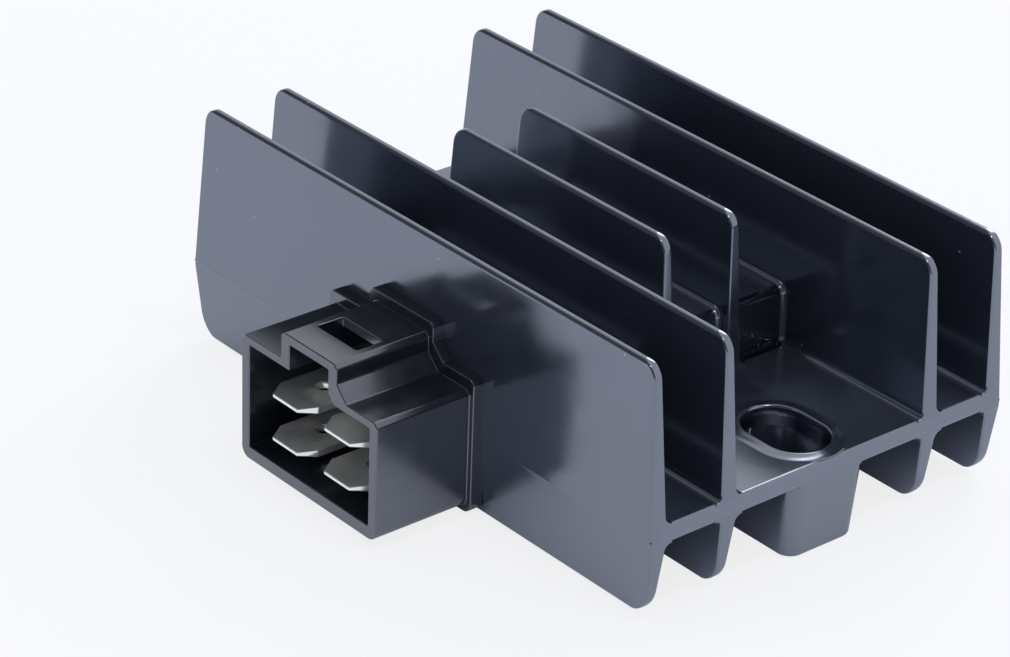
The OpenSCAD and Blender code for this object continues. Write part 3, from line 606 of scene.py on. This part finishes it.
# Nickel over rolled copper: a soft grey-pink metal with drawn streaks.
plated_copper = moulded_material("nickel-plated copper", "#a89a88", "#cabfae", 0.4, 0.28, 0.003, 1.0)
# Transfer-moulded epoxy with a spark-eroded grain.
epoxy = moulded_material("moulded black epoxy", "#141416", "#232426", 0.15, 0.45, 0.006, 0.0)
dress(["thyristor_far_tab", "thyristor_near_tab", "thyristor_far_legs", "thyristor_near_legs"], plated_copper)
dress(["thyristor_far_body", "thyristor_near_body"], epoxy)

# ---- Diodes ----
# Two diodes moulded in the same epoxy as the thyristors, and two glass zener diodes whose red
# dies show through. All lie along X, soldered through the board by their wires.

# Clear glass over a red dumet slug: glossy, with little variation.
glass = moulded_material("red sealing glass", "#8a2f1c", "#c0653f", 0.6, 0.08, 0.001, 0.0)
dress(["diode_far", "diode_near"], epoxy)
dress(["zener_far", "zener_near"], glass)

# ---- Resistors ----
# Three carbon-film resistors, dipped in beige lacquer and soldered like the diodes.

# Thick dipped lacquer, slightly sagged, so it is glossy with soft ripples.
lacquer = moulded_material("beige resistor lacquer", "#b8986a", "#d2b98c", 0.8, 0.22, 0.02, 0.0)
dress(["resistor_far", "resistor_middle", "resistor_near"], lacquer)

# ---- Capacitor ----
# An electrolytic capacitor: an aluminium can in a dark blue shrunk sleeve, lying on the board.

# Shrunk film with the sheen of thin plastic over metal.
sleeve = moulded_material("blue shrink sleeve", "#1f2b52", "#33437a", 1.2, 0.25, 0.01, 0.0)
dress(["capacitor"], sleeve)

# ---- Potting resin ----
# Black epoxy poured into the upturned bay over the finished board. It sealed everything in, and
# crept a little up the walls before it set.

CREEP = [(0.02, 0.50), (0.12, 0.33), (0.28, 0.18), (0.52, 0.08), (0.90, 0.02), (1.40, -0.02), (1.40, -0.4),
         (0.02, -0.4)]

# Self-levelled epoxy: glossy, with the slight waves that it set in.
resin_epoxy = moulded_material("poured black epoxy", "#101113", "#1d1f22", 5.0, 0.16, 0.06, 0.0)
resin = merged_copy("potting_resin", "poured_resin")
surface_z = min(vert.co.z for vert in resin.data.vertices if abs(vert.co.x) > 13 * MM) / MM
poured = bmesh.new()
poured.from_mesh(resin.data)
skin(poured, [ring(0, BAY_Y, BAY_HALF_L - away, BAY_HALF_W - away, max(0.3, 0.4 - away), surface_z - drop, 6)
              for away, drop in CREEP], "joined")
bmesh.ops.recalc_face_normals(poured, faces=poured.faces)
poured.to_mesh(resin.data)
poured.free()
for polygon in resin.data.polygons:
    polygon.use_smooth = True
resin.modifiers.new("flat faces stay flat", "WEIGHTED_NORMAL")
resin.data.materials.append(resin_epoxy)
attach(resin, "root")
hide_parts("potting_resin")

# ---- Table and light ----
# A plain white table under a light tent, as in the photograph: the table and the tent are as
# white in the black coat's reflections as they are to the eye, and the shadow stays pale.

table_paint, tree = new_material("white table")
rays = add_node(tree, "ShaderNodeLightPath")
seen = add_node(tree, "ShaderNodeMath", {0: rays.outputs["Is Glossy Ray"], 1: rays.outputs["Is Transmission Ray"]},
                operation="MAXIMUM")
# Painted shade: where ambient occlusion finds the part close by, under and beside it, the table's glow in the coat's
# reflections is turned down as if the part's shadow fell there.
covered = add_node(tree, "ShaderNodeAmbientOcclusion", {"Distance": 0.03}, samples=8)
mirrored_glow_less_painted_shade = add_node(tree, "ShaderNodeMapRange", {0: covered.outputs["AO"], 1: 0.05, 2: 0.6, 3: 0.0, 4: 0.78})
mirrored = add_node(tree, "ShaderNodeMath", {0: seen.outputs[0], 1: mirrored_glow_less_painted_shade.outputs[0]}, operation="MULTIPLY")
looked_at = add_node(tree, "ShaderNodeMath", {0: rays.outputs["Is Camera Ray"], 1: 0.82}, operation="MULTIPLY")
share = add_node(tree, "ShaderNodeMath", {0: mirrored.outputs[0], 1: looked_at.outputs[0]}, operation="MAXIMUM")
matt = add_node(tree, "ShaderNodeBsdfDiffuse", {"Color": linear("#e2e8fb")})
glow = add_node(tree, "ShaderNodeEmission", {"Color": (1.0, 1.0, 1.0, 1.0), "Strength": 1.0})
both = add_node(tree, "ShaderNodeMixShader", {0: share.outputs[0], 1: matt.outputs[0], 2: glow.outputs[0]})
add_node(tree, "ShaderNodeOutputMaterial", {"Surface": both.outputs[0]})

table_mesh = bpy.data.meshes.new("table")
table_mesh.from_pydata([(-3, -3, 0), (3, -3, 0), (3, 3, 0), (-3, 3, 0)], [], [(0, 1, 2, 3)])
table_mesh.materials.append(table_paint)
table = bpy.data.objects.new("table", table_mesh)
bpy.context.scene.collection.objects.link(table)

world = bpy.data.worlds.new("light tent")
world.use_nodes = True
world.node_tree.nodes.clear()
tree = world.node_tree
rays = add_node(tree, "ShaderNodeLightPath")
seen = add_node(tree, "ShaderNodeMath", {0: rays.outputs["Is Camera Ray"], 1: rays.outputs["Is Glossy Ray"]},
                operation="MAXIMUM")
seen = add_node(tree, "ShaderNodeMath", {0: seen.outputs[0], 1: rays.outputs["Is Transmission Ray"]},
                operation="MAXIMUM")
looks = add_node(tree, "ShaderNodeTexCoord")
aim = add_node(tree, "ShaderNodeSeparateXYZ", {0: looks.outputs["Generated"]})
ahead = add_node(tree, "ShaderNodeMapRange", {0: aim.outputs["Y"], 1: -0.25, 2: 0.35, 3: 0.12, 4: 1.0})
mirrored = add_node(tree, "ShaderNodeMath", {0: ahead.outputs[0], 1: rays.outputs["Is Camera Ray"]}, operation="MAXIMUM")
tent = add_node(tree, "ShaderNodeBackground", {"Color": linear("#e6ecfb"), "Strength": 0.75})
white = add_node(tree, "ShaderNodeBackground", {"Color": (1.0, 1.0, 1.0, 1.0), "Strength": mirrored.outputs[0]})
both = add_node(tree, "ShaderNodeMixShader", {0: seen.outputs[0], 1: tent.outputs[0], 2: white.outputs[0]})
add_node(tree, "ShaderNodeOutputWorld", {"Surface": both.outputs[0]})
bpy.context.scene.world = world

for name, spot, size, watts in [("soft box behind", (-0.35, 0.75, 0.6), 0.45, 4.0),
                                ("small lamp overhead", (0.3, 0.05, 0.8), 0.12, 1.0)]:
    data = bpy.data.lights.new(name, "AREA")
    data.shape = "SQUARE"
    data.size = size
    data.energy = watts
    lamp = bpy.data.objects.new(name, data)
    lamp.location = spot
    lamp.rotation_euler = Vector(spot).to_track_quat("Z", "Y").to_euler()
    bpy.context.scene.collection.objects.link(lamp)

# ---- Camera ----
# Where the photograph was taken from: a long lens at the near right corner, a little tilted.

AZIMUTH = math.radians(49.2454)
ELEVATION = math.radians(27.9625)
TILT = math.radians(2.0987)
TARGET = Vector((0.0057041, -0.0160059, 0.0164))
DISTANCE = 0.3805131

back = Vector((math.cos(ELEVATION) * math.sin(AZIMUTH), -math.cos(ELEVATION) * math.cos(AZIMUTH), math.sin(ELEVATION)))
right = Vector((math.cos(AZIMUTH), math.sin(AZIMUTH), 0.0))
up = back.cross(right)
right_turned = right * math.cos(TILT) + up * math.sin(TILT)
up_turned = up * math.cos(TILT) - right * math.sin(TILT)
turn = Matrix((right_turned, up_turned, back)).transposed().to_4x4()
lens = bpy.data.cameras.new("long lens")
lens.sensor_width = 36.0
lens.lens = 136.91
lens.clip_start = 0.01
camera = bpy.data.objects.new("camera", lens)
camera.matrix_world = Matrix.Translation(TARGET + back * DISTANCE) @ turn
bpy.context.scene.collection.objects.link(camera)
bpy.context.scene.camera = camera

bpy.context.scene.view_settings.view_transform = "Standard"
